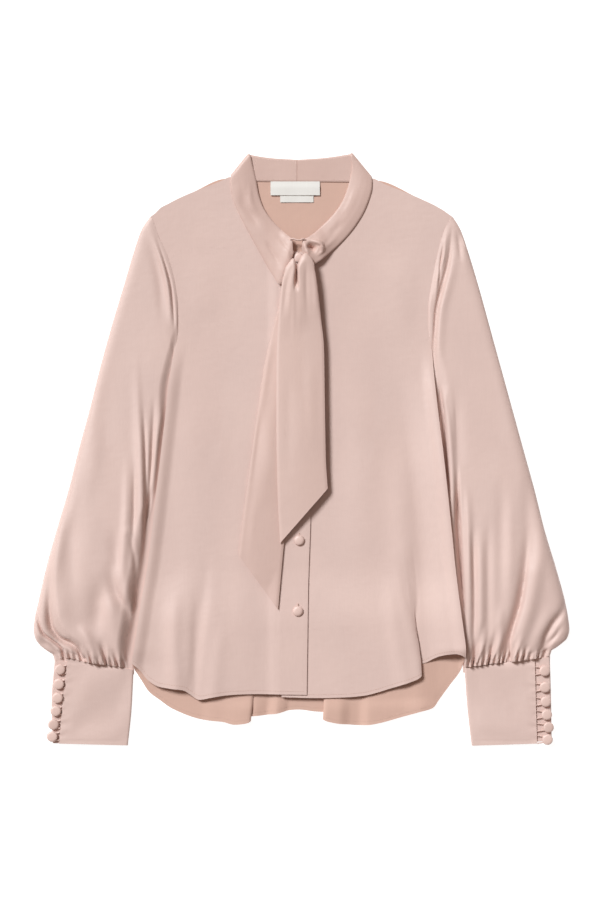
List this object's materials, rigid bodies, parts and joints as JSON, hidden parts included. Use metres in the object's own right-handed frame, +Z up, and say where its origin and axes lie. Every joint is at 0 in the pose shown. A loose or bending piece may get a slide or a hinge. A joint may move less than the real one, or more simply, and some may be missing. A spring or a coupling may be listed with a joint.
{
  "type": "tie neck blouse",
  "caption": "Satin blouse laid flat, with a knotted tie neck, long balloon sleeves, deep cuffs with covered buttons and loops, and a curved hem.",
  "frame": {"origin": "on the back panel's flat underside, at the middle of the blouse as it lies", "axes": "+Y from the hem to the neck, +X to the viewer's right with the front facing up, +Z up off the surface it lies on"},
  "size_m": [0.6431, 0.7129, 0.0199],
  "materials": {
    "satin": "pale pink satin, smooth and softly shiny outside, matt and warmer inside",
    "tie_satin": "the same satin doubled, softly shiny",
    "covered_trim": "the same satin stretched over button blanks and rolled into loops",
    "label": "blank off-white woven label"
  },
  "bodies": {
    "root": {"back": "satin", "cuff_button_left_1": "covered_trim", "cuff_button_left_2": "covered_trim", "cuff_button_left_3": "covered_trim", "cuff_button_left_4": "covered_trim", "cuff_button_left_5": "covered_trim", "cuff_button_left_6": "covered_trim", "cuff_button_right_1": "covered_trim", "cuff_button_right_2": "covered_trim", "cuff_button_right_3": "covered_trim", "cuff_button_right_4": "covered_trim", "cuff_button_right_5": "covered_trim", "cuff_button_right_6": "covered_trim", "cuff_left": "satin", "cuff_loop_left_1": "covered_trim", "cuff_loop_left_2": "covered_trim", "cuff_loop_left_3": "covered_trim", "cuff_loop_left_4": "covered_trim", "cuff_loop_left_5": "covered_trim", "cuff_loop_left_6": "covered_trim", "cuff_loop_right_1": "covered_trim", "cuff_loop_right_2": "covered_trim", "cuff_loop_right_3": "covered_trim", "cuff_loop_right_4": "covered_trim", "cuff_loop_right_5": "covered_trim", "cuff_loop_right_6": "covered_trim", "cuff_right": "satin", "front_button_1": "covered_trim", "front_button_2": "covered_trim", "front_button_3": "covered_trim", "front_button_4": "covered_trim", "front_button_5": "covered_trim", "front_button_6": "covered_trim", "front_left": "satin", "front_right": "satin", "label_main": "label", "label_size": "label", "neck_band_left": "tie_satin", "neck_band_right": "tie_satin", "sleeve_left": "satin", "sleeve_right": "satin", "tie_end_back": "tie_satin", "tie_end_front": "tie_satin"}
  },
  "joints": []
}
